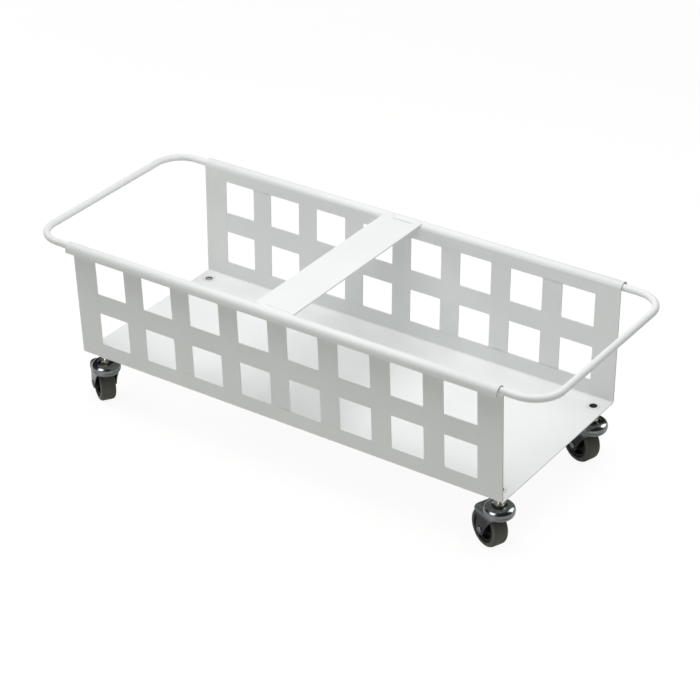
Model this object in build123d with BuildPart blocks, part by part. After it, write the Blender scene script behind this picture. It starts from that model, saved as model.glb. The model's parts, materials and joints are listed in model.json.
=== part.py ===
from build123d import *
import os
from math import cos, radians, sin, sqrt, tan

# Container dolly: one folded sheet tray with a rod rim, carried by four swivel casters.
# Millimetres, +Z up, the origin on the floor under the middle of the tray.

# Tray, folded from one sheet
tray_length = 619.5
tray_width = 264.4  # outside of the walls, at the middle of the hole field
tray_height = 162.2  # underside of the base to the top of the hems
sheet = 1.5
wall_lean = 1.7  # degrees outward
fold_radius = 1.5  # inside the folds
hem_bore = 12.5  # inside width of the curled edges
hem_lip = 4.0  # straight edge after the curl

# Square holes in the walls
hole_side = 45.0
hole_corner = 0.8
hole_pitch = 72.5
hole_columns = 8
hole_rows = 2
hole_field_height = 81.2  # middle of the field above the underside of the base

# Rod that lies in both hems and makes a handle loop past each end
rod_diameter = 9.0
rod_play = 0.1
loop_reach = 57.2  # centre line of a loop past the end of the tray
loop_corner = 36.5  # bend radius of the centre line

# Strap across the middle, level with the hems
strap_width = 55.0
strap_thickness = 2.0
strap_gap = 0.15

# Caster places: side along X, side along Y, and the heading that the wheel trails to, in degrees
stem_inset = 16.5  # stem axis from the end of the tray
stem_side_inset = 19.8  # stem axis from the inside of the wall
casters = {
    "front_left": (-1, -1, 145.0),
    "front_right": (1, -1, 157.0),
    "back_left": (-1, 1, 152.0),
    "back_right": (1, 1, 161.0),
}

# Wheel
wheel_diameter = 50.0
tyre_width = 20.0
tyre_shoulder = 4.0
tyre_depth = 6.5  # tread to the hub
hub_rim_width = 17.0
hub_rim_depth = 4.0
hub_web = 6.0
hub_boss_radius = 7.5
key_height = 1.5  # rib of the hub that holds the tyre
key_width = 8.0
mould_gap = 0.05
running_fit = 0.05
side_play = 0.3

# Axle and the sleeve that the wheel runs on
axle_radius = 3.0
axle_fit = 0.05
axle_head_radius = 3.9
axle_head_height = 1.1
sleeve_radius = 4.5

# Fork, pressed from one sheet
fork_sheet = 2.0
fork_width = 30.0  # outside of the legs
fork_bend = 11.0  # outside bend from the hood to the legs
trail = 18.0  # axle behind the stem
wheel_gap = 3.6  # tyre to the underside of the hood
wheel_well = 2.0  # room round the tyre
leg_end = 7.2  # round end of a leg about the axle
leg_front = 7.0  # front edge of the leg ahead of the stem, where it leaves the skirt
leg_front_bow = 1.2  # hollow of the leg's front edge
hood_front = 10.0
hood_back = 30.5
hood_corner = 4.8
hood_depth = 6.0  # back edge of the hood
hood_heel = 1.5  # round under the back edge
leg_waist = 4.6  # back edge of the leg behind the axle, at its narrowest
leg_waist_height = 15.5  # above the axle
leg_waist_round = 3.0
skirt_radius = 18.7
skirt_foot_radius = 15.4
skirt_depth = 6.0

# Swivel head: domed cap over a row of balls, and a plain race under the neck
cap_radius = 19.0
cap_height = 8.5
cap_sheet = 1.4
cap_round = 7.0
recess_radius = 9.0
recess_depth = 5.0
recess_lip = 2.5
recess_round = 1.5
swivel_gap = 0.4
neck_gap = 0.7
ball = 3.3
ball_ring = 13.0
ball_count = 10
ball_play = 0.05
ball_drop = 0.25  # top of the balls below the flat of the cap, where the dome falls away
track_flat = 1.8  # half width of the crown's ball track
track_foot = 1.5  # slope outside the track
neck_bore = 6.0
neck_radius = 9.2
skirt_round = 0.9
lower_race_radius = 10.8
lower_race_sheet = 1.5
lower_race_gap = 0.3
race_room = 1.2

# Stem, washer, nut and threaded bush
stem_radius = 4.0
thread_fit = 0.05
stem_chamfer = 0.8
stem_recess = 7.0  # stem's top below the floor of the tray
rivet_radius = 6.3
rivet_height = 1.8
rivet_bevel = 0.9
washer_radius = 7.4
washer_thickness = 1.4
nut_flats = 13.0
nut_height = 6.5
nut_bevel = 0.6
stem_show = 4.9  # bare stem between the nut and the bush
bush_drop = 11.0  # bush below the underside of the base
bush_radius = 6.5
bush_fit = 0.05
bush_flange_radius = 7.7
bush_flange = 1.0
bush_bulge = 1.5
bush_bulge_height = 3.6
bush_mouth_radius = 5.2
bush_mouth_depth = 6.0
dimple_gap = 0.3

# Wheel and heights above the floor, from the tyre upward
axle_height = wheel_diameter / 2
hub_radius = wheel_diameter / 2 - tyre_depth
fork_top = wheel_diameter + wheel_gap + fork_sheet
skirt_bottom = fork_top - skirt_depth
skirt_taper = skirt_radius - skirt_foot_radius
skirt_curve = (skirt_taper**2 + skirt_depth**2) / (2 * skirt_taper)
cap_edge = fork_top + swivel_gap
cap_top = cap_edge + cap_height
recess_floor = cap_top - recess_depth
washer_top = recess_floor + washer_thickness
nut_top = washer_top + nut_height
bush_bottom = nut_top + stem_show
base_underside = bush_bottom + bush_drop
base_top = base_underside + sheet
hem_top = base_underside + tray_height

# Heights inside the swivel head
ball_height = cap_top - cap_sheet - ball_drop - ball / 2
track_top = ball_height - ball / 2 - ball_play
neck_top = recess_floor - cap_sheet - neck_gap
lower_race_top = neck_top - fork_sheet - lower_race_gap
lower_race_bottom = lower_race_top - lower_race_sheet

# Tray section: the inside face of a wall and the middle of its curled edge
lean = radians(wall_lean)
curl_radius = hem_bore / 2 + sheet
field_height = base_underside + hole_field_height
wall_inside = tray_width / 2 - sheet / cos(lean)
wall_foot = wall_inside - (field_height - base_top) * tan(lean)
fold_start = wall_foot - fold_radius * tan(radians(90 - wall_lean) / 2)
curl_height = hem_top - curl_radius
wall_end_height = curl_height + curl_radius * sin(lean)
wall_end = wall_inside + (wall_end_height - field_height) * tan(lean)
curl_middle = wall_end + curl_radius * cos(lean)

# Rod centre line: up against the curl, on the wall's side of it
rod_radius = rod_diameter / 2
rod_shift = (hem_bore / 2 - rod_radius - rod_play) / sqrt(2)
rod_height = curl_height + rod_shift
rod_half_width = curl_middle - rod_shift
rod_half_length = tray_length / 2 + loop_reach

stem_x = tray_length / 2 - stem_inset
stem_y = wall_foot - stem_side_inset
leg_outside = fork_width / 2
leg_inside = leg_outside - fork_sheet
dimple_radius = bush_flange_radius + dimple_gap


def save(piece, node):
    piece.part.label = node
    export_step(piece.part, f"parts/{node}.step")


def make_tray():
    with BuildPart() as tray:
        # Base, fold, leaning wall, curl and lip, mirrored for the other side
        with BuildSketch(Plane.YZ):
            with BuildLine():
                floor = Line((0, base_top), (fold_start, base_top))
                fold = JernArc(floor @ 1, floor % 1, fold_radius, 90 - wall_lean)
                wall = Line(fold @ 1, (wall_end, wall_end_height))
                curl = JernArc(wall @ 1, wall % 1, curl_radius, -180)
                Line(curl @ 1, curl @ 1 + (curl % 1) * hem_lip)
                offset(amount=sheet, side=Side.RIGHT)
            make_face()
            mirror(about=Plane.YZ)
        extrude(amount=tray_length / 2, both=True)
        # Square holes through both walls
        with BuildSketch(Plane.XZ):
            with Locations((0, field_height)):
                with GridLocations(hole_pitch, hole_pitch, hole_columns, hole_rows):
                    RectangleRounded(hole_side, hole_side, hole_corner)
        extrude(amount=tray_width, both=True, mode=Mode.SUBTRACT)
        # Pressed dimples for the bush flanges, with the bush holes
        with BuildSketch(Plane.XY.offset(base_underside)):
            with GridLocations(2 * stem_x, 2 * stem_y, 2, 2):
                Circle(dimple_radius + sheet)
        extrude(amount=-bush_flange)
        with BuildSketch(Plane.XY.offset(base_top)):
            with GridLocations(2 * stem_x, 2 * stem_y, 2, 2):
                Circle(dimple_radius)
        extrude(amount=-bush_flange, mode=Mode.SUBTRACT)
        with BuildSketch(Plane.XY.offset(base_top)):
            with GridLocations(2 * stem_x, 2 * stem_y, 2, 2):
                Circle(bush_radius + bush_fit)
        extrude(amount=-(sheet + bush_flange), mode=Mode.SUBTRACT)
    save(tray, "tray")


def make_rim_rod():
    with BuildPart() as rim_rod:
        with BuildLine(Plane.XY.offset(rod_height)) as ring:
            FilletPolyline(
                (rod_half_length, rod_half_width),
                (rod_half_length, -rod_half_width),
                (-rod_half_length, -rod_half_width),
                (-rod_half_length, rod_half_width),
                radius=loop_corner,
                close=True,
            )
        with BuildSketch(Plane(origin=ring.line @ 0, z_dir=ring.line % 0)):
            Circle(rod_radius)
        sweep()
    save(rim_rod, "rim_rod")


def make_cross_strap():
    drop = curl_radius - strap_thickness
    strap_end = curl_middle - sqrt(curl_radius**2 - drop**2) - strap_gap
    with BuildPart() as cross_strap:
        with BuildSketch(Plane.XY.offset(hem_top)):
            Rectangle(strap_width, 2 * strap_end)
        extrude(amount=-strap_thickness)
    save(cross_strap, "cross_strap")


def make_bush(name, side, stem_axis):
    seat = base_underside - bush_flange
    bore = stem_radius + thread_fit
    with BuildPart() as bush:
        with BuildSketch(side):
            with BuildLine():
                Polyline(
                    (bush_radius, seat),
                    (bush_radius, base_top - bush_flange),
                    (bush_flange_radius, base_top - bush_flange),
                    (bush_flange_radius, base_top),
                    (bush_mouth_radius, base_top),
                    (bush_mouth_radius, base_top - bush_mouth_depth),
                    (bore, base_top - bush_mouth_depth),
                    (bore, bush_bottom),
                    (bush_radius, bush_bottom),
                    (bush_radius, seat - bush_bulge_height),
                )
                ThreePointArc(
                    (bush_radius, seat - bush_bulge_height),
                    (bush_radius + bush_bulge, seat - bush_bulge_height / 2),
                    (bush_radius, seat),
                )
            make_face()
        revolve(axis=stem_axis)
    save(bush, f"{name}_bush")


def make_stem(name, side, stem_axis):
    stem_top = base_top - stem_recess
    rivet_bottom = lower_race_bottom - rivet_height
    with BuildPart() as stem:
        with BuildSketch(side):
            with BuildLine():
                Polyline(
                    (0, rivet_bottom),
                    (rivet_radius - rivet_bevel, rivet_bottom),
                    (rivet_radius, rivet_bottom + rivet_bevel),
                    (rivet_radius, lower_race_bottom),
                    (stem_radius, lower_race_bottom),
                    (stem_radius, stem_top - stem_chamfer),
                    (stem_radius - stem_chamfer, stem_top),
                    (0, stem_top),
                    close=True,
                )
            make_face()
        revolve(axis=stem_axis)
    save(stem, f"{name}_stem")


def make_washer_and_nut(name, plan, side, stem_axis):
    with BuildPart() as washer:
        with BuildSketch(plan.offset(recess_floor)):
            Circle(washer_radius)
            Circle(stem_radius + thread_fit, mode=Mode.SUBTRACT)
        extrude(amount=washer_thickness)
    save(washer, f"{name}_washer")

    corner = nut_flats / 2 / cos(radians(30))
    with BuildPart() as nut:
        with BuildSketch(plan.offset(washer_top)):
            RegularPolygon(nut_flats / 2, 6, major_radius=False)
            Circle(stem_radius + thread_fit, mode=Mode.SUBTRACT)
        extrude(amount=nut_height)
        # Corners turned off at both ends
        with BuildSketch(side):
            with BuildLine():
                Polyline(
                    (0, washer_top),
                    (nut_flats / 2, washer_top),
                    (corner, washer_top + nut_bevel),
                    (corner, nut_top - nut_bevel),
                    (nut_flats / 2, nut_top),
                    (0, nut_top),
                    close=True,
                )
            make_face()
        revolve(axis=stem_axis, mode=Mode.INTERSECT)
    save(nut, f"{name}_nut")


def make_head_cap(name, side, stem_axis):
    with BuildPart() as head_cap:
        with BuildSketch(side):
            with BuildLine():
                FilletPolyline(
                    (stem_radius + thread_fit, recess_floor),
                    (recess_radius, recess_floor),
                    (recess_radius, cap_top),
                    (cap_radius, cap_top),
                    (cap_radius, cap_edge),
                    radius=[recess_round, recess_lip, cap_round],
                )
                offset(amount=cap_sheet, side=Side.RIGHT)
            make_face()
        revolve(axis=stem_axis)
    save(head_cap, f"{name}_head_cap")


def make_balls(name, plan):
    with BuildPart(plan.offset(ball_height)) as balls:
        with PolarLocations(ball_ring, ball_count):
            Sphere(ball / 2)
    save(balls, f"{name}_balls")


def make_lower_race(name, plan):
    with BuildPart() as lower_race:
        with BuildSketch(plan.offset(lower_race_bottom)):
            Circle(lower_race_radius)
            Circle(stem_radius + thread_fit, mode=Mode.SUBTRACT)
        extrude(amount=lower_race_sheet)
    save(lower_race, f"{name}_lower_race")


def make_fork(name, plan, side, across, wheel_section, stem_axis, wheel_axis):
    well_side = tyre_width / 2 + wheel_well
    well_top = wheel_diameter / 2 + wheel_well
    with BuildPart() as fork:
        # Hood folded down into two legs
        with BuildSketch(across):
            with BuildLine():
                FilletPolyline(
                    (-leg_outside, 0),
                    (-leg_outside, fork_top),
                    (leg_outside, fork_top),
                    (leg_outside, 0),
                    radius=fork_bend,
                )
                offset(amount=fork_sheet, side=Side.RIGHT)
            make_face()
        extrude(amount=hood_back + leg_end, both=True)
        # Side outline: hollow front edge, round end about the axle, narrow waist under the hood
        with BuildSketch(side):
            with BuildLine():
                front = SagittaArc(
                    (trail - leg_end, axle_height),
                    (-leg_front, skirt_bottom),
                    -leg_front_bow,
                )
                back = FilletPolyline(
                    (-hood_front, fork_top),
                    (hood_back, fork_top),
                    (hood_back, fork_top - hood_depth),
                    (trail + leg_waist, axle_height + leg_waist_height),
                    (trail + leg_end, axle_height),
                    radius=[hood_corner, hood_heel, leg_waist_round],
                )
                Line(front @ 1, back @ 0)
                Line(back @ 1, front @ 0)
            make_face()
            with Locations((trail, axle_height)):
                Circle(leg_end)
        extrude(amount=leg_outside, both=True, mode=Mode.INTERSECT)
        # Round opening in the hood for the lower race
        with BuildSketch(plan.offset(skirt_bottom)):
            Circle(lower_race_radius + race_room)
        extrude(amount=skirt_depth, mode=Mode.SUBTRACT)
        # Crown: neck, raised ball track and skirt
        with BuildSketch(side) as crown:
            with BuildLine():
                Polyline(
                    (neck_bore, neck_top),
                    (neck_radius, neck_top),
                    (ball_ring - track_flat, track_top),
                    (ball_ring + track_flat, track_top),
                    (ball_ring + track_flat + track_foot, fork_top),
                    (skirt_radius, fork_top),
                )
                RadiusArc((skirt_radius, fork_top), (skirt_foot_radius, skirt_bottom), skirt_curve)
                offset(amount=fork_sheet, side=Side.RIGHT)
            make_face()
            fillet(crown.vertices().group_by(Axis.X)[-1], radius=skirt_round)
        revolve(axis=stem_axis)
        # Room for the tyre, and the axle holes
        with BuildSketch(wheel_section):
            with BuildLine():
                FilletPolyline(
                    (-well_side, 0),
                    (-well_side, well_top),
                    (well_side, well_top),
                    (well_side, 0),
                    radius=tyre_shoulder + wheel_well,
                )
                Line((well_side, 0), (-well_side, 0))
            make_face()
        revolve(axis=wheel_axis, mode=Mode.SUBTRACT)
        with BuildSketch(side):
            with Locations((trail, axle_height)):
                Circle(axle_radius + axle_fit)
        extrude(amount=leg_outside, both=True, mode=Mode.SUBTRACT)
    save(fork, f"{name}_fork")


def make_axle(name, wheel_section, wheel_axis):
    head_round = axle_head_height - axle_fit
    head_end = leg_outside + axle_head_height
    with BuildPart() as axle:
        with BuildSketch(wheel_section):
            with BuildLine():
                FilletPolyline(
                    (-head_end, 0),
                    (-head_end, axle_head_radius),
                    (-leg_outside, axle_head_radius),
                    (-leg_outside, axle_radius),
                    (leg_outside, axle_radius),
                    (leg_outside, axle_head_radius),
                    (head_end, axle_head_radius),
                    (head_end, 0),
                    radius=[head_round, 0, 0, 0, 0, head_round],
                )
                Line((head_end, 0), (-head_end, 0))
            make_face()
        revolve(axis=wheel_axis)
    save(axle, f"{name}_axle")

    with BuildPart() as axle_sleeve:
        with BuildSketch(wheel_section):
            with Locations((0, (sleeve_radius + axle_radius + axle_fit) / 2)):
                Rectangle(2 * leg_inside, sleeve_radius - axle_radius - axle_fit)
        revolve(axis=wheel_axis)
    save(axle_sleeve, f"{name}_axle_sleeve")


def make_hub(name, wheel_section, wheel_axis):
    boss_end = leg_inside - side_play
    bore = sleeve_radius + running_fit
    rim_inside = hub_radius - hub_rim_depth
    with BuildPart() as hub:
        with BuildSketch(wheel_section):
            with BuildLine():
                Polyline(
                    (0, bore),
                    (boss_end, bore),
                    (boss_end, hub_boss_radius),
                    (hub_web / 2, hub_boss_radius),
                    (hub_web / 2, rim_inside),
                    (hub_rim_width / 2, rim_inside),
                    (hub_rim_width / 2, hub_radius),
                    (key_width / 2, hub_radius),
                    (key_width / 2, hub_radius + key_height),
                    (0, hub_radius + key_height),
                    close=True,
                )
            make_face()
            mirror(about=Plane.YZ)
        revolve(axis=wheel_axis)
    save(hub, f"{name}_hub")


def make_tyre(name, wheel_section, wheel_axis):
    seat = hub_radius + mould_gap
    groove = seat + key_height
    groove_side = key_width / 2 + mould_gap
    with BuildPart() as tyre:
        with BuildSketch(wheel_section):
            with BuildLine():
                outside = FilletPolyline(
                    (0, wheel_diameter / 2),
                    (tyre_width / 2, wheel_diameter / 2),
                    (tyre_width / 2, seat),
                    radius=tyre_shoulder,
                )
                Polyline(
                    outside @ 1,
                    (groove_side, seat),
                    (groove_side, groove),
                    (0, groove),
                    outside @ 0,
                )
            make_face()
            mirror(about=Plane.YZ)
        revolve(axis=wheel_axis)
    save(tyre, f"{name}_tyre")


def make_caster(name, x_side, y_side, heading):
    behind = Vector(cos(radians(heading)), sin(radians(heading)), 0)
    sideways = Vector(-behind.Y, behind.X, 0)
    foot = Vector(x_side * stem_x, y_side * stem_y, 0)
    middle = foot + behind * trail + Vector(0, 0, axle_height)
    plan = Plane(origin=foot, x_dir=behind, z_dir=(0, 0, 1))
    side = Plane(origin=foot, x_dir=behind, z_dir=-sideways)
    across = Plane(origin=foot, x_dir=sideways, z_dir=behind)
    wheel_section = Plane(origin=middle, x_dir=sideways, z_dir=behind)
    stem_axis = Axis(foot, (0, 0, 1))
    wheel_axis = Axis(middle, sideways)

    make_bush(name, side, stem_axis)
    make_stem(name, side, stem_axis)
    make_washer_and_nut(name, plan, side, stem_axis)
    make_head_cap(name, side, stem_axis)
    make_balls(name, plan)
    make_lower_race(name, plan)
    make_fork(name, plan, side, across, wheel_section, stem_axis, wheel_axis)
    make_axle(name, wheel_section, wheel_axis)
    make_hub(name, wheel_section, wheel_axis)
    make_tyre(name, wheel_section, wheel_axis)


os.makedirs("parts", exist_ok=True)
make_tray()
make_rim_rod()
make_cross_strap()
for name, (x_side, y_side, heading) in casters.items():
    make_caster(name, x_side, y_side, heading)
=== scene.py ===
import json
import math

import bmesh
import bpy
from mathutils import Matrix, Vector, noise


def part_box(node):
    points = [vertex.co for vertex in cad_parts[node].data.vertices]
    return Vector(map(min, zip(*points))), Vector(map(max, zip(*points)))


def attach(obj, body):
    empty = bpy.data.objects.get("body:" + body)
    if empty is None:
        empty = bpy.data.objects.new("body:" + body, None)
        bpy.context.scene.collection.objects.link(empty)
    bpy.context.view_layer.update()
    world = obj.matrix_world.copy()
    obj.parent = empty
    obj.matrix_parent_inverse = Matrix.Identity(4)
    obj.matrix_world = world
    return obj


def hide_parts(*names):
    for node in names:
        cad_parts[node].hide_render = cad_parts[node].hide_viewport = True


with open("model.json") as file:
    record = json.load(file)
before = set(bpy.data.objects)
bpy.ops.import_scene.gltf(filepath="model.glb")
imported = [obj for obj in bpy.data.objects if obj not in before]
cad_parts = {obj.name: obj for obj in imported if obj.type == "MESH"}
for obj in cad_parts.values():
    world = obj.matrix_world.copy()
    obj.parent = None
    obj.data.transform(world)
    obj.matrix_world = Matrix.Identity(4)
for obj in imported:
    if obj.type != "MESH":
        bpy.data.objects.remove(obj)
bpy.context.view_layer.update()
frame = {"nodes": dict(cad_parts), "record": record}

# Container dolly: white powder coated tray with a rod rim, on four swivel casters.
# Metres, in the frame of the solids: +Z up, the origin on the floor under the middle of the tray.

MM = 0.001
ALONG = (1.0, 0.0, 0.0)
ACROSS = (0.0, 1.0, 0.0)

# Where the casters stand
CASTERS = ("front_left", "front_right", "back_left", "back_right")
joints = {joint["name"]: joint for joint in frame["record"]["behaviour"]["joints"]}
STEM_X, STEM_Y = (abs(value) for value in joints["front_left_swivel"]["pos_m"][:2])

# Tray: its end, its top edge and the upper face of its base
TRAY_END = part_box("tray")[1][0]
TRAY_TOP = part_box("tray")[1][2]
TRAY_FLOOR = 84.8 * MM

# Bushes in the base: two of them are taken to hold coat inside, the others show bare steel drawn near
# black, partly as painted shade in the bore
PAINTED_BUSHES = ("front_right", "back_left")
OPEN_BUSH_DEPTH = 20.0 * MM
PAINTED_BUSH_DEPTH = 1.8 * MM
BUSH_MOUTH = (5.15 * MM, 5.35 * MM)
BUSH_RING = (7.2 * MM, 7.7 * MM)

# Bands on forks and tyres where one tone runs into the next, as start and end; on the forks they part the
# painted reflections of hood and skirt from the painted shade of the legs
HOOD_RISE = (43.0 * MM, 51.0 * MM)
SKIRT_RISE = (47.0 * MM, 50.5 * MM)
SKIRT_RIM = (18.5 * MM, 20.0 * MM)
TREAD_EDGE = (22.5 * MM, 24.5 * MM)
MOULD_LINE = (0.1 * MM, 0.5 * MM)

# Small rounds on the edges of sheet pieces
TRAY_ROUND = 0.25 * MM
STRAP_ROUND = 0.7 * MM
SAME_POINT = 0.002 * MM
SHARP_ANGLE = math.radians(50.0)

# Stem as in the solids' sizes, with the thread that they leave out
STEM_RADIUS = 4.0 * MM
STEM_CHAMFER = 0.8 * MM
STEM_FACETS = 40
THREAD_PITCH = 1.25 * MM
THREAD_DEPTH = 0.55 * MM
THREAD_LENGTH = 17.5 * MM
THREAD_CREST = 0.12
THREAD_FLANK = 0.76
RINGS_PER_TURN = 8
RIVET_RADIUS = 6.3 * MM
RIVET_HEIGHT = 1.8 * MM
RIVET_BEVEL = 0.9 * MM

# Welds between the strap's ends and the crowns of the hems
STRAP_HALF_WIDTH = 27.5 * MM
CURL_MIDDLE = 140.63 * MM
CURL_RADIUS = 7.75 * MM
WELD_STEP = 0.7 * MM
WELD_RISE = 0.10 * MM
WELD_RIPPLE = 0.07 * MM
WELD_DEPTH = 0.4 * MM
FAR_WELD_BREAK = (-13.0 * MM, 15.0 * MM)

# Painted shade along the gaps in the coat beside the welds: distance across the tray, start and end along
# it
NEAR_SEAM = (-135.2 * MM, -14.0 * MM, 21.0 * MM)
FAR_SEAM = (129.8 * MM, -12.5 * MM, 17.0 * MM)

# Colours as red, green, blue and alpha; a pair holds the two ends of a mix
SPECK = (0.58, 0.58, 0.56, 1.0)
# Painted shade: the gaps beside the welds and the ring around each bush's mouth
PAINTED_SHADE_COAT = (0.42, 0.42, 0.41, 1.0)
# Darker tone of the sheared wall ends
DARKER_END_COAT = (0.25, 0.25, 0.24, 1.0)
# Bare steel in the bushes, drawn near black, which also paints the shade in the bore
BARE_STEEL_AND_SHADE = ((0.018, 0.017, 0.015, 1.0), (0.05, 0.046, 0.04, 1.0))
ZINC = ((0.42, 0.41, 0.36, 1.0), (0.56, 0.55, 0.49, 1.0))
# Painted highlight on the edges of the zinc pieces
ZINC_EDGE_HIGHLIGHT = (0.80, 0.79, 0.74, 1.0)
BALL_STEEL = ((0.52, 0.52, 0.53, 1.0), (0.62, 0.62, 0.63, 1.0))
BLACK_PLASTIC = ((0.007, 0.007, 0.007, 1.0), (0.014, 0.014, 0.014, 1.0))
TYRE_SIDE = ((0.080, 0.080, 0.074, 1.0), (0.118, 0.118, 0.109, 1.0))
TYRE_TREAD = ((0.062, 0.060, 0.050, 1.0), (0.128, 0.125, 0.107, 1.0))
SCUFFED_RUBBER = (0.13, 0.128, 0.118, 1.0)
STUDIO_PAPER = ((0.94, 0.94, 0.895, 1.0), (0.96, 0.96, 0.915, 1.0))
PURE_WHITE = (1.0, 1.0, 1.0, 1.0)

# The photograph's camera, with angles in degrees and lens and sensor in millimetres
CAMERA_PLACE = (1.4006, -1.9828, 1.5512)
CAMERA_TURN = 35.024
CAMERA_TILT = 30.492
CAMERA_ROLL = -0.911
CAMERA_LENS = 117.57
SENSOR_WIDTH = 36.0
VIEW_DEPTH = 50.0

# The studio: where the lamps aim, the floor's reach and brightness, and the light of the room
LAMP_TARGET = (0.0, 0.0, 0.1)
FLOOR_REACH = 12.0
FLOOR_GLOW = 1.05
ROOM_LIGHT = 0.155
MIRRORED_ROOM_LOSS = 0.10


# Node wiring
class Wire:
    """A number that varies over a surface; sums and products of wires add Math nodes."""

    def __init__(self, finish, socket):
        self.finish = finish
        self.socket = socket

    def math(self, operation, first, second=0.0):
        node = self.finish.node("ShaderNodeMath", {"operation": operation}, {0: first, 1: second})
        return Wire(self.finish, node.outputs[0])

    def __add__(self, other):
        return self.math("ADD", self, other)

    __radd__ = __add__

    def __sub__(self, other):
        return self.math("SUBTRACT", self, other)

    def __rsub__(self, other):
        return self.math("SUBTRACT", other, self)

    def __mul__(self, other):
        return self.math("MULTIPLY", self, other)

    __rmul__ = __mul__

    def __pow__(self, other):
        return self.math("POWER", self, other)

    def __abs__(self):
        return self.math("ABSOLUTE", self)

    def larger(self, other):
        return self.math("MAXIMUM", self, other)


class Finish:
    """A node tree, and the nodes that feed its shader."""

    def __init__(self, tree):
        self.tree = tree
        self.place = None

    def node(self, kind, settings, sockets):
        node = self.tree.nodes.new(kind)
        for name, value in settings.items():
            setattr(node, name, value)
        for name, value in sockets.items():
            self.feed(node.inputs[name], value)
        return node

    def feed(self, socket, value):
        if isinstance(value, Wire):
            self.tree.links.new(value.socket, socket)
        else:
            socket.default_value = value

    def wire(self, kind, settings, sockets, output=0):
        return Wire(self, self.node(kind, settings, sockets).outputs[output])

    def position(self):
        if self.place is None:
            self.place = self.wire("ShaderNodeTexCoord", {}, {}, "Object")
        return self.place

    def vector(self, operation, first, second=(0.0, 0.0, 0.0), output="Vector"):
        return self.wire("ShaderNodeVectorMath", {"operation": operation}, {0: first, 1: second}, output)

    def dot(self, first, second):
        return self.vector("DOT_PRODUCT", first, second, "Value")

    def noise(self, scale, detail=3.0, roughness=0.5):
        sockets = {"Vector": self.position(), "Scale": scale, "Detail": detail, "Roughness": roughness}
        return self.wire("ShaderNodeTexNoise", {}, sockets, "Fac")

    def stripes(self, distance, scale, detail=2.0):
        sockets = {"W": distance, "Scale": scale, "Detail": detail}
        return self.wire("ShaderNodeTexNoise", {"noise_dimensions": "1D"}, sockets, "Fac")

    def smooth(self, value, low, high):
        """0 below low, 1 above high, and a smooth ramp between them."""
        sockets = {"Value": value, "From Min": low, "From Max": high}
        return self.wire("ShaderNodeMapRange", {"interpolation_type": "SMOOTHSTEP"}, sockets, "Result")

    def mix(self, amount, first, second):
        sockets = {"Factor": amount, 6: first, 7: second}
        return self.wire("ShaderNodeMix", {"data_type": "RGBA"}, sockets, 2)


class Coat(Finish):
    """The finish of a piece, on one Principled shader."""

    def __init__(self, name, constants):
        self.material = bpy.data.materials.new(name)
        self.material.use_nodes = True
        super().__init__(self.material.node_tree)
        self.shader = self.tree.nodes["Principled BSDF"]
        self.rounded = None
        for socket, value in constants.items():
            self.shader.inputs[socket].default_value = value

    def round_edges(self, radius):
        self.rounded = self.wire("ShaderNodeBevel", {"samples": 6}, {"Radius": radius}, "Normal")

    def edge(self):
        """0 on flat faces, more where the rounded normal turns away at an edge."""
        flat = self.wire("ShaderNodeNewGeometry", {}, {}, "Normal")
        return 1 - self.dot(self.rounded, flat)

    def bump(self, height, distance, strength):
        sockets = {"Height": height, "Distance": distance, "Strength": strength}
        if self.rounded:
            sockets["Normal"] = self.rounded
        self.feed(self.shader.inputs["Normal"], self.wire("ShaderNodeBump", {}, sockets, "Normal"))

    def colour(self, value):
        self.feed(self.shader.inputs["Base Color"], value)

    def roughness(self, value):
        self.feed(self.shader.inputs["Roughness"], value)

    def from_stem(self):
        """Distance from the nearest caster's stem axis."""
        parts = self.node("ShaderNodeSeparateXYZ", {}, {0: self.position()})
        x = abs(Wire(self, parts.outputs[0])) - STEM_X
        y = abs(Wire(self, parts.outputs[1])) - STEM_Y
        return (x * x + y * y) ** 0.5

    def height(self):
        parts = self.node("ShaderNodeSeparateXYZ", {}, {0: self.position()})
        return Wire(self, parts.outputs[2])

    def cut_end(self):
        """1 on the sheared ends of the tray's walls, which are drawn darker."""
        along = abs(self.dot(self.position(), ALONG))
        normal = self.wire("ShaderNodeNewGeometry", {}, {}, "Normal")
        facing = abs(self.dot(normal, ALONG))
        near_end = self.smooth(along, TRAY_END - 0.2 * MM, TRAY_END - 0.1 * MM)
        past_end = self.smooth(along, TRAY_END + 0.1 * MM, TRAY_END + 0.2 * MM)
        above_base = self.smooth(self.height(), TRAY_FLOOR + 1.0 * MM, TRAY_FLOOR + 4.0 * MM)
        return (near_end - past_end) * self.smooth(facing, 0.75, 0.9) * above_base

    def seam(self, across, start, end):
        """1 along an uneven line over the tray's top edge beside a weld, where the shade of a gap is
        painted.
        """
        x = self.dot(self.position(), ALONG)
        y = self.dot(self.position(), ACROSS)
        waver = (self.noise(130.0, detail=2.0) - 0.5) * 3.0 * MM
        line = 1 - self.smooth(abs(y - across + waver), 0.3 * MM, 0.8 * MM)
        past_start = self.smooth(x, start - 1.0 * MM, start + 1.0 * MM)
        past_end = self.smooth(x, end - 1.0 * MM, end + 1.0 * MM)
        between = past_start - past_end
        on_top = self.smooth(self.height(), TRAY_TOP - 0.8 * MM, TRAY_TOP - 0.3 * MM)
        return line * between * on_top

    def in_wheel(self, caster):
        """Distance across the wheel from its middle, and from its axle."""
        roll = joints[f"{caster}_roll"]
        offset = self.vector("SUBTRACT", self.position(), roll["pos_m"])
        across = self.dot(offset, roll["axis"])
        radius = (self.dot(offset, offset) - across * across) ** 0.5
        return across, radius


# Finishes
def white(level):
    return (0.978 * level, level, 0.99 * level, 1.0)


def steel_grey(level):
    return (0.93 * level, level, 1.02 * level, 1.0)


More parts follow.
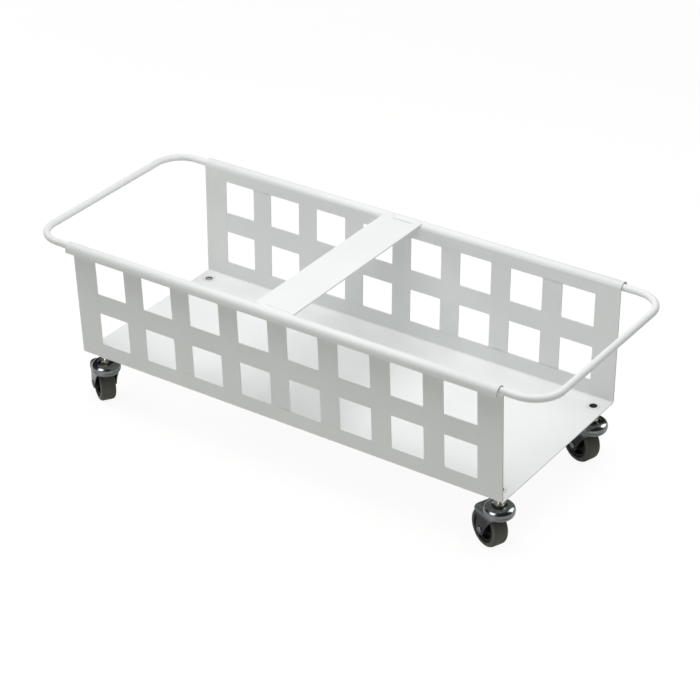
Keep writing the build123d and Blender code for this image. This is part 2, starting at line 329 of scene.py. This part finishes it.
def powder_coat():
    """White coat with fine peel, faint clouds and specks, painted shade along the gaps beside the welds,
    and darker on the sheared ends.
    """
    coat = Coat("white_powder_coat", {"Specular IOR Level": 0.35})
    cloud = coat.noise(9.0, detail=4.0)
    peel = coat.noise(900.0, detail=2.0, roughness=0.45)
    speck = coat.smooth(coat.noise(420.0, detail=1.0), 0.72, 0.78)
    clean = coat.mix(coat.smooth(cloud, 0.3, 0.7), white(0.82), white(0.845))
    specked = coat.mix(speck * 0.10, clean, SPECK)
    # Painted shade along the gaps beside the strap's welds
    seam_shades = (coat.seam(*NEAR_SEAM) * 0.35).larger(coat.seam(*FAR_SEAM) * 0.75)
    seam_shaded = coat.mix(seam_shades, specked, PAINTED_SHADE_COAT)
    # Sheared wall ends drawn darker
    coat.colour(coat.mix(coat.cut_end() * 0.85, seam_shaded, DARKER_END_COAT))
    coat.roughness(0.38 + 0.12 * cloud + 0.05 * peel)
    coat.bump(peel, 0.06 * MM, strength=0.5)
    return coat.material


def bush_coat(name, dark_depth):
    """White flange with a ring of painted shade at its edge, and bare steel drawn near black with a thread
    down to some depth inside the mouth, partly as painted shade.
    """
    coat = Coat(name, {"Specular IOR Level": 0.35})
    radius = coat.from_stem()
    dark_foot = TRAY_FLOOR - dark_depth
    below = 1 - coat.smooth(coat.height(), dark_foot - 0.3 * MM, dark_foot + 0.3 * MM)
    # Bore drawn near black down to a depth: bare steel and painted shade
    bare_and_shaded = (1 - coat.smooth(radius, *BUSH_MOUTH)) * (1 - below)
    ring = coat.smooth(radius, *BUSH_RING)
    cloud = coat.noise(300.0)
    peel = coat.noise(900.0, detail=2.0, roughness=0.45)
    thread = coat.stripes(coat.height(), 1500.0, detail=0.0)
    # Ring of painted shade around the mouth
    painted = coat.mix(ring * 0.6, white(0.835), PAINTED_SHADE_COAT)
    steel = coat.mix(cloud, *BARE_STEEL_AND_SHADE)
    coat.colour(coat.mix(bare_and_shaded, painted, steel))
    coat.roughness(0.4 + 0.12 * cloud)
    coat.bump(peel * (1 - bare_and_shaded) + thread * bare_and_shaded, 0.1 * MM, strength=0.5)
    return coat.material


def cap_plate():
    """Bright plate of the swivel head, with fine rings left by the pressing and a painted highlight along
    its edges.
    """
    plate = Coat("bright_plate", {"Metallic": 1.0})
    plate.round_edges(0.4 * MM)
    # Painted highlight along the rounded edges
    wear_and_edge_highlight = plate.smooth(plate.edge(), 0.02, 0.2)
    bloom = plate.noise(160.0, detail=5.0, roughness=0.6)
    drawn = plate.stripes(plate.from_stem(), 2600.0)
    clean = plate.mix(plate.smooth(bloom, 0.3, 0.75), steel_grey(0.175), steel_grey(0.225))
    plate.colour(plate.mix(wear_and_edge_highlight * 0.12, clean, steel_grey(0.35)))
    plate.roughness(0.14 + 0.10 * bloom + 0.05 * drawn)
    plate.bump(bloom + 0.15 * drawn, 0.04 * MM, strength=0.35)
    return plate.material


def fork_plate():
    """Plate of the pressed fork, with painted reflections bright on the turned skirt and the hood, painted
    shade dark down the legs, and a painted highlight along its edges.
    """
    plate = Coat("fork_plate", {"Metallic": 1.0})
    plate.round_edges(1.3 * MM)
    # Painted highlight along the rounded edges
    wear_and_edge_highlight = plate.smooth(plate.edge(), 0.04, 0.3)
    bloom = plate.noise(160.0, detail=5.0, roughness=0.6)
    scuff = plate.smooth(plate.noise(420.0, detail=5.0, roughness=0.65), 0.62, 0.76)
    hood = plate.smooth(plate.height(), *HOOD_RISE)
    inside_rim = 1 - plate.smooth(plate.from_stem(), *SKIRT_RIM)
    skirt = plate.smooth(plate.height(), *SKIRT_RISE) * inside_rim
    # Painted shade down the legs, painted reflections on the hood and the skirt
    shaded_leg = plate.mix(plate.smooth(bloom, 0.3, 0.75), steel_grey(0.018), steel_grey(0.030))
    clean = plate.mix(skirt, plate.mix(hood, shaded_leg, steel_grey(0.21)), steel_grey(0.17))
    scuffed = plate.mix(scuff * 0.2, clean, steel_grey(0.2))
    plate.colour(plate.mix(wear_and_edge_highlight * 0.3, scuffed, steel_grey(0.26)))
    plate.roughness(0.17 + 0.14 * bloom + 0.15 * scuff + 0.1 * hood)
    plate.bump(bloom, 0.05 * MM, strength=0.4)
    return plate.material


def axle_plate():
    """Rounded axle heads, drawn brighter than the legs, with a painted highlight strongest along their
    edges.
    """
    plate = Coat("axle_plate", {"Metallic": 1.0})
    plate.round_edges(1.2 * MM)
    # Painted highlight, strongest along the edges
    wear_and_edge_highlight = plate.smooth(plate.edge(), 0.02, 0.3)
    bloom = plate.noise(300.0, detail=4.0, roughness=0.6)
    clean = plate.mix(bloom, steel_grey(0.13), steel_grey(0.20))
    plate.colour(plate.mix(wear_and_edge_highlight * 0.7, clean, steel_grey(0.36)))
    plate.roughness(0.16 + 0.16 * bloom)
    plate.bump(bloom, 0.06 * MM, strength=0.5)
    return plate.material


def dull_plate():
    """Yellowish zinc on nuts, washers and stems, with a painted highlight along their edges."""
    plate = Coat("dull_zinc_plate", {"Metallic": 1.0})
    plate.round_edges(0.3 * MM)
    # Painted highlight along the edges
    wear_and_edge_highlight = plate.smooth(plate.edge(), 0.02, 0.2)
    bloom = plate.noise(300.0, detail=4.0, roughness=0.6)
    grain = plate.noise(2600.0, detail=2.0)
    clean = plate.mix(bloom, *ZINC)
    plate.colour(plate.mix(wear_and_edge_highlight * 0.8, clean, ZINC_EDGE_HIGHLIGHT))
    plate.roughness(0.2 + 0.16 * bloom + 0.06 * grain)
    plate.bump(grain, 0.02 * MM, strength=0.4)
    return plate.material


def polished_steel():
    """Loose balls, with a faint haze."""
    steel = Coat("polished_steel", {"Metallic": 1.0})
    haze = steel.noise(700.0)
    steel.colour(steel.mix(haze, *BALL_STEEL))
    steel.roughness(0.06 + 0.08 * haze)
    steel.bump(haze, 0.01 * MM, strength=0.3)
    return steel.material


def black_moulding(caster):
    """Wheel centre, with a fine grain and rings around the axle."""
    moulding = Coat(f"black_moulding_{caster}", {"Specular IOR Level": 0.2})
    moulding.round_edges(0.3 * MM)
    _, radius = moulding.in_wheel(caster)
    grain = moulding.noise(1400.0)
    cloud = moulding.noise(90.0)
    turned = moulding.stripes(radius, 1800.0)
    moulding.colour(moulding.mix(cloud, *BLACK_PLASTIC))
    moulding.roughness(0.44 + 0.16 * cloud + 0.08 * turned)
    moulding.bump(grain + 0.5 * turned, 0.04 * MM, strength=0.5)
    return moulding.material


def grey_rubber(caster):
    """Dusty tread with a mould line, smoother sides with fine rings."""
    rubber = Coat(f"grey_rubber_{caster}", {"Specular IOR Level": 0.35})
    across, radius = rubber.in_wheel(caster)
    tread = rubber.smooth(radius, *TREAD_EDGE)
    line = 1 - rubber.smooth(abs(across), *MOULD_LINE)
    dust = rubber.noise(120.0, detail=5.0, roughness=0.6)
    grain = rubber.noise(1900.0)
    rings = rubber.stripes(radius, 900.0, detail=1.0)
    scuff = rubber.smooth(rubber.noise(260.0, detail=4.0, roughness=0.7), 0.58, 0.72)
    side = rubber.mix(dust, *TYRE_SIDE)
    streak = rubber.stripes(across, 380.0, detail=3.0)
    wear_and_edge_highlight = rubber.mix(0.5 * dust + 0.5 * streak, *TYRE_TREAD)
    clean = rubber.mix(tread, side, wear_and_edge_highlight)
    rubber.colour(rubber.mix(scuff * tread * 0.4, clean, SCUFFED_RUBBER))
    rubber.roughness(0.50 + 0.2 * dust + 0.12 * tread)
    rubber.bump(grain * (0.4 + tread) + rings * (1 - tread) + line * 1.5, 0.09 * MM, strength=0.5)
    return rubber.material


# Finishes and soft edges on the solids
def dress(node, material):
    slots = frame["nodes"][node].data.materials
    slots.clear()
    slots.append(material)


def soften(node, width):
    """Small rounds on the sharp edges of a sheet piece."""
    solid = frame["nodes"][node]
    weld = solid.modifiers.new("joined_faces", "WELD")
    weld.merge_threshold = SAME_POINT
    rounds = solid.modifiers.new("soft_edges", "BEVEL")
    rounds.width = width
    rounds.segments = 2
    rounds.limit_method = "ANGLE"
    rounds.angle_limit = SHARP_ANGLE
    rounds.use_clamp_overlap = False
    rounds.harden_normals = True


def dress_solids(coat, dull):
    for node in ("tray", "rim_rod", "cross_strap"):
        dress(node, coat)
    soften("tray", TRAY_ROUND)
    soften("cross_strap", STRAP_ROUND)
    open_bush = bush_coat("bush_coat", OPEN_BUSH_DEPTH)
    painted_bush = bush_coat("filled_bush_coat", PAINTED_BUSH_DEPTH)
    pieces = {
        "washer": dull,
        "nut": dull,
        "lower_race": dull,
        "axle_sleeve": dull,
        "balls": polished_steel(),
        "fork": fork_plate(),
        "head_cap": cap_plate(),
        "axle": axle_plate(),
    }
    for caster in CASTERS:
        for piece, material in pieces.items():
            dress(f"{caster}_{piece}", material)
        dress(f"{caster}_bush", painted_bush if caster in PAINTED_BUSHES else open_bush)
        dress(f"{caster}_hub", black_moulding(caster))
        dress(f"{caster}_tyre", grey_rubber(caster))


# Details that the solids leave out
def add_piece(name, mesh, material, body):
    mesh.materials.append(material)
    piece = bpy.data.objects.new(name, mesh)
    bpy.context.scene.collection.objects.link(piece)
    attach(piece, body)
    return piece


def join_rings(shape, rows):
    """Faces between neighbouring rings; a ring of one point closes an end."""
    for lower, upper in zip(rows, rows[1:]):
        count = max(len(lower), len(upper))
        for column in range(count):
            after = (column + 1) % count
            if len(lower) == 1:
                shape.faces.new((lower[0], upper[after], upper[column]))
            elif len(upper) == 1:
                shape.faces.new((lower[column], lower[after], upper[0]))
            else:
                shape.faces.new((lower[column], lower[after], upper[after], upper[column]))
    bmesh.ops.recalc_face_normals(shape, faces=shape.faces)


def smooth_mesh(name, shape):
    """The finished mesh of a shape, with smooth shading."""
    mesh = bpy.data.meshes.new(name)
    shape.to_mesh(mesh)
    shape.free()
    for face in mesh.polygons:
        face.use_smooth = True
    return mesh


def thread_cut(turns):
    """How deep the thread is cut, from 0 on its crest to 1 at its root."""
    across = abs((turns % 1.0) - 0.5) * 2
    return min(1.0, max(0.0, (across - THREAD_CREST) / THREAD_FLANK))


def stem_rings(foot, top, thread_start):
    """Radius and height of each ring of the stem, from the riveted end up to the chamfer."""
    rings = [
        (0.0, foot),
        (RIVET_RADIUS - RIVET_BEVEL, foot),
        (RIVET_RADIUS, foot + RIVET_BEVEL),
        (RIVET_RADIUS, foot + RIVET_HEIGHT),
        (STEM_RADIUS, foot + RIVET_HEIGHT),
    ]
    steps = int((THREAD_LENGTH - STEM_CHAMFER) / (THREAD_PITCH / RINGS_PER_TURN))
    for step in range(steps + 1):
        rings.append((STEM_RADIUS, thread_start + step * THREAD_PITCH / RINGS_PER_TURN))
    rings.append((STEM_RADIUS - STEM_CHAMFER, top))
    rings.append((0.0, top))
    return rings


def add_stem(caster, dull):
    """Stem with its thread: rings of points whose radius follows the helix."""
    low, high = (Vector(corner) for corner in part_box(f"{caster}_stem"))
    middle = (low + high) / 2
    thread_start = high.z - THREAD_LENGTH
    shape = bmesh.new()
    rows = []
    for radius, z in stem_rings(low.z, high.z, thread_start):
        if radius == 0.0:
            rows.append([shape.verts.new((middle.x, middle.y, z))])
            continue
        row = []
        run_in = min(1.0, max(0.0, (z - thread_start) / THREAD_PITCH))
        for column in range(STEM_FACETS):
            angle = 2 * math.pi * column / STEM_FACETS
            cut = thread_cut(z / THREAD_PITCH - column / STEM_FACETS) * run_in * THREAD_DEPTH
            reach = radius - cut if radius == STEM_RADIUS else radius
            x = middle.x + reach * math.cos(angle)
            y = middle.y + reach * math.sin(angle)
            row.append(shape.verts.new((x, y, z)))
        rows.append(row)
    join_rings(shape, rows)
    mesh = smooth_mesh(f"{caster}_threaded_stem", shape)
    stem = add_piece(f"{caster}_threaded_stem", mesh, dull, "tray_frame")
    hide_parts(f"{caster}_stem")


def hem_surface(y, top):
    """Height of a hem's curl at a distance from the middle of the tray."""
    reach = min(CURL_RADIUS, CURL_MIDDLE - y)
    return top - CURL_RADIUS + math.sqrt(CURL_RADIUS**2 - reach**2)


def add_weld(name, side, start, end, coat):
    """Painted weld that fills the valley between the strap's end and the crown of a hem."""
    corner = Vector(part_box("cross_strap")[1])
    strap_end = corner.y
    top = corner.z
    root = strap_end + 0.3 * MM
    steps = int((end - start) / WELD_STEP)
    shape = bmesh.new()
    rows = []
    for step in range(steps + 1):
        x = start + (end - start) * step / steps
        taper = min(1.0, 4.0 * min(step, steps - step) / steps + 0.15)
        ripple = noise.noise(Vector((x * 420.0, side * 3.0, 0.5)))
        toe = noise.noise(Vector((x * 160.0, side * 7.0, 2.5)))
        rise = (WELD_RISE + WELD_RIPPLE * ripple) * taper
        outer = CURL_MIDDLE - (1.1 - 0.8 * toe) * MM - (1 - taper) * 3.0 * MM
        section = [
            (strap_end - (0.7 + 0.4 * ripple) * MM * taper, top - 0.05 * MM),
            (strap_end - 0.1 * MM, top + rise),
            ((strap_end + outer) / 2, top + rise),
            (outer, hem_surface(outer, top) + 0.04 * MM),
            (outer, hem_surface(outer, top) - WELD_DEPTH),
            (root, hem_surface(root, top) - WELD_DEPTH),
            (strap_end - 0.6 * MM, top - 0.8 * MM),
        ]
        rows.append([shape.verts.new((x, side * y, z)) for y, z in section])
    join_rings(shape, rows)
    shape.faces.new(rows[0])
    shape.faces.new(rows[-1])
    bmesh.ops.recalc_face_normals(shape, faces=shape.faces)
    weld = add_piece(name, smooth_mesh(name, shape), coat, "tray_frame")
    rounds = weld.modifiers.new("flow", "SUBSURF")
    rounds.levels = 1
    rounds.render_levels = 1


def add_details(coat, dull):
    for caster in CASTERS:
        add_stem(caster, dull)
    left_end, right_start = FAR_WELD_BREAK
    add_weld("strap_weld_near", -1, -STRAP_HALF_WIDTH, STRAP_HALF_WIDTH, coat)
    add_weld("strap_weld_far_left", 1, -STRAP_HALF_WIDTH, left_end, coat)
    add_weld("strap_weld_far_right", 1, right_start, STRAP_HALF_WIDTH, coat)


# The studio
def add_camera():
    data = bpy.data.cameras.new("photo_camera")
    data.lens = CAMERA_LENS
    data.sensor_width = SENSOR_WIDTH
    data.sensor_fit = "HORIZONTAL"
    data.clip_end = VIEW_DEPTH
    camera = bpy.data.objects.new("photo_camera", data)
    turn = Matrix.Rotation(math.radians(CAMERA_TURN), 4, "Z")
    tilt = Matrix.Rotation(math.radians(90.0 - CAMERA_TILT), 4, "X")
    roll = Matrix.Rotation(math.radians(CAMERA_ROLL), 4, "Z")
    camera.matrix_world = Matrix.Translation(CAMERA_PLACE) @ turn @ tilt @ roll
    bpy.context.scene.collection.objects.link(camera)
    bpy.context.scene.camera = camera


def add_lamp(name, place, size, watts):
    """Soft rectangular lamp, facing the tray."""
    data = bpy.data.lights.new(name, "AREA")
    data.shape = "RECTANGLE"
    data.size, data.size_y = size
    data.energy = watts
    lamp = bpy.data.objects.new(name, data)
    direction = Vector(LAMP_TARGET) - Vector(place)
    lamp.location = place
    lamp.rotation_euler = direction.to_track_quat("-Z", "Y").to_euler()
    bpy.context.scene.collection.objects.link(lamp)
    return lamp


def plated_pieces():
    """The caster pieces that mirror the softboxes."""
    plated = bpy.data.collections.new("plated_pieces")
    for caster in CASTERS:
        for piece in ("head_cap", "fork", "axle", "nut", "washer", "lower_race", "balls"):
            plated.objects.link(frame["nodes"][f"{caster}_{piece}"])
        plated.objects.link(bpy.data.objects[f"{caster}_threaded_stem"])
    return plated


def add_lamps():
    """Two lamps that leave no highlights, and two softboxes that light only the plated pieces."""
    main = [
        add_lamp("overhead", place=(0.15, -0.06, 1.4), size=(1.3, 1.5), watts=18.9),
        add_lamp("low_left", place=(-1.8, -0.3, 0.9), size=(0.9, 0.7), watts=10.0),
    ]
    for lamp in main:
        lamp.visible_glossy = False

    plated = plated_pieces()
    softboxes = [
        add_lamp("front_softbox", place=(-0.55, -2.06, 1.3), size=(1.4, 1.7), watts=48.0),
        add_lamp("back_softbox", place=(1.47, 1.6, 1.25), size=(1.4, 1.7), watts=48.0),
    ]
    for lamp in softboxes:
        lamp.light_linking.receiver_collection = plated


def background_rays(finish):
    """Two switches: 1 for rays straight or through something from the camera, and 1 for mirrored rays."""
    path = finish.node("ShaderNodeLightPath", {}, {})
    camera = Wire(finish, path.outputs["Is Camera Ray"])
    mirrored = Wire(finish, path.outputs["Is Glossy Ray"])
    passed = Wire(finish, path.outputs["Is Transmission Ray"])
    return camera.larger(passed), mirrored


def add_floor():
    """White paper that glows to the camera, so that it stays bright, and less in mirrors near the part."""
    corners = [
        (-FLOOR_REACH, -FLOOR_REACH, 0),
        (FLOOR_REACH, -FLOOR_REACH, 0),
        (FLOOR_REACH, FLOOR_REACH, 0),
        (-FLOOR_REACH, FLOOR_REACH, 0),
    ]
    mesh = bpy.data.meshes.new("studio_floor")
    mesh.from_pydata(corners, [], [(0, 1, 2, 3)])
    floor = bpy.data.objects.new("studio_floor", mesh)
    bpy.context.scene.collection.objects.link(floor)

    paper = Coat("studio_floor", {"Roughness": 0.9, "Specular IOR Level": 0.1})
    patch = paper.noise(0.8, detail=2.0)
    paper.colour(paper.mix(patch, *STUDIO_PAPER))
    straight, mirrored = background_rays(paper)
    distance = paper.vector("LENGTH", paper.position(), output="Value")
    away = paper.smooth(distance, 0.45, 1.1)
    far = paper.smooth(distance, 1.0, 3.0)
    glow = paper.wire("ShaderNodeEmission", {}, {"Color": PURE_WHITE, "Strength": FLOOR_GLOW})
    straight_share = straight * (0.88 + 0.12 * far)
    mirrored_share = mirrored * (0.5 + 0.5 * away)
    share = straight_share.larger(mirrored_share)
    sockets = {0: share, 1: Wire(paper, paper.shader.outputs[0]), 2: glow}
    both = paper.wire("ShaderNodeMixShader", {}, sockets)
    paper.feed(paper.tree.nodes["Material Output"].inputs["Surface"], both)
    paper.material.cycles.emission_sampling = "NONE"
    mesh.materials.append(paper.material)


def add_world():
    """White behind the part, and a dim even light from the room, dimmer in mirrors."""
    world = bpy.data.worlds.new("studio")
    world.use_nodes = True
    bpy.context.scene.world = world
    sky = Finish(world.node_tree)
    straight, mirrored = background_rays(sky)
    level = straight.larger(ROOM_LIGHT - MIRRORED_ROOM_LOSS * mirrored)
    background = world.node_tree.nodes["Background"]
    sky.feed(background.inputs["Strength"], level)
    background.inputs["Color"].default_value = PURE_WHITE
    world.cycles.sampling_method = "NONE"


def add_studio():
    add_world()
    add_floor()
    add_lamps()
    add_camera()
    bpy.context.scene.view_settings.view_transform = "Standard"


coat = powder_coat()
dull = dull_plate()
dress_solids(coat, dull)
add_details(coat, dull)
add_studio()
